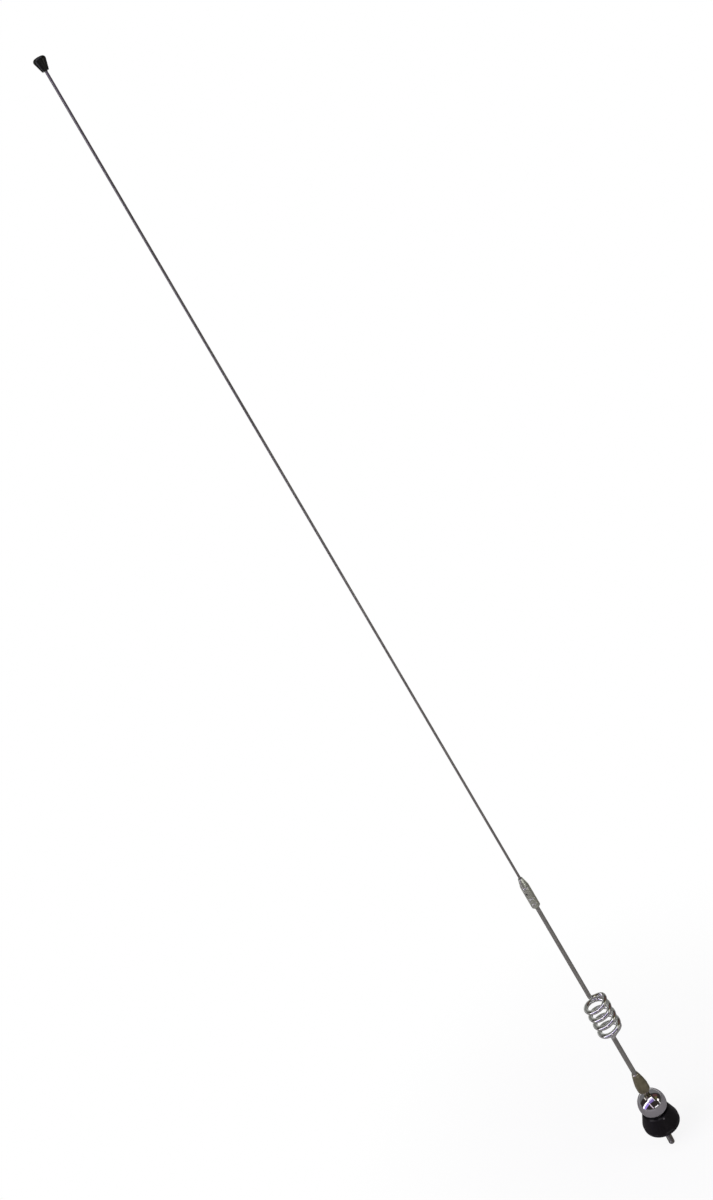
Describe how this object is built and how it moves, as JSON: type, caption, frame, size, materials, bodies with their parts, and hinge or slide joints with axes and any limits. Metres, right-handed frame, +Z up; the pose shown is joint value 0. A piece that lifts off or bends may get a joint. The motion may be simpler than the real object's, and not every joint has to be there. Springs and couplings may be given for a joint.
{
  "type": "car fender whip antenna",
  "caption": "Fender-mounted whip antenna: tapered whip with rubber tip cap, coupler, mast wound into an open coil, and a swivelling ball clamped on a conical base by a threaded stud.",
  "frame": {"origin": "on the clamp bolt's axis, in the plane where the gasket's underside meets the fender", "axes": "+Z up along the bolt and the base's axis; -Y towards the picture's camera; at rest the mast leans 2.5 degrees towards -X"},
  "size_m": [0.0702, 0.0374, 1.1265],
  "materials": {
    "gasket_rubber": "matt moulded black rubber",
    "bush_nylon": "natural nylon, satin",
    "cone_plastic": "black moulded plastic, satin",
    "bolt_zinc": "dull zinc plate",
    "ball_chrome": "polished chrome plate",
    "ferrule_brass": "turned brass, plating dulled to olive grey",
    "mast_steel": "bright steel rod, lightly dulled",
    "coupler_steel": "turned stainless steel with bright grooves",
    "whip_steel": "centreless-ground stainless steel",
    "cap_rubber": "smooth black rubber, slight sheen"
  },
  "bodies": {
    "base": {"gasket": "gasket_rubber", "insulator_bush": "bush_nylon", "base_cone": "cone_plastic"},
    "stud": {"clamp_bolt": "bolt_zinc", "saddle_washer": "bolt_zinc"},
    "mast": {"ball": "ball_chrome", "ferrule": "ferrule_brass", "coil_mast": "mast_steel", "coupler": "coupler_steel", "coupler_screw": "bolt_zinc", "whip": "whip_steel", "tip_cap": "cap_rubber"}
  },
  "joints": [
    {"name": "base_swivel", "type": "hinge", "parent": "base", "child": "stud", "pos_m": [0, 0, 0.0267], "axis": [0, 0, 1], "continuous": true},
    {"name": "mast_tilt", "type": "hinge", "parent": "stud", "child": "mast", "pos_m": [0, 0, 0.0267], "axis": [0, 1, 0], "range_deg": [-27.5, 32.5]}
  ]
}
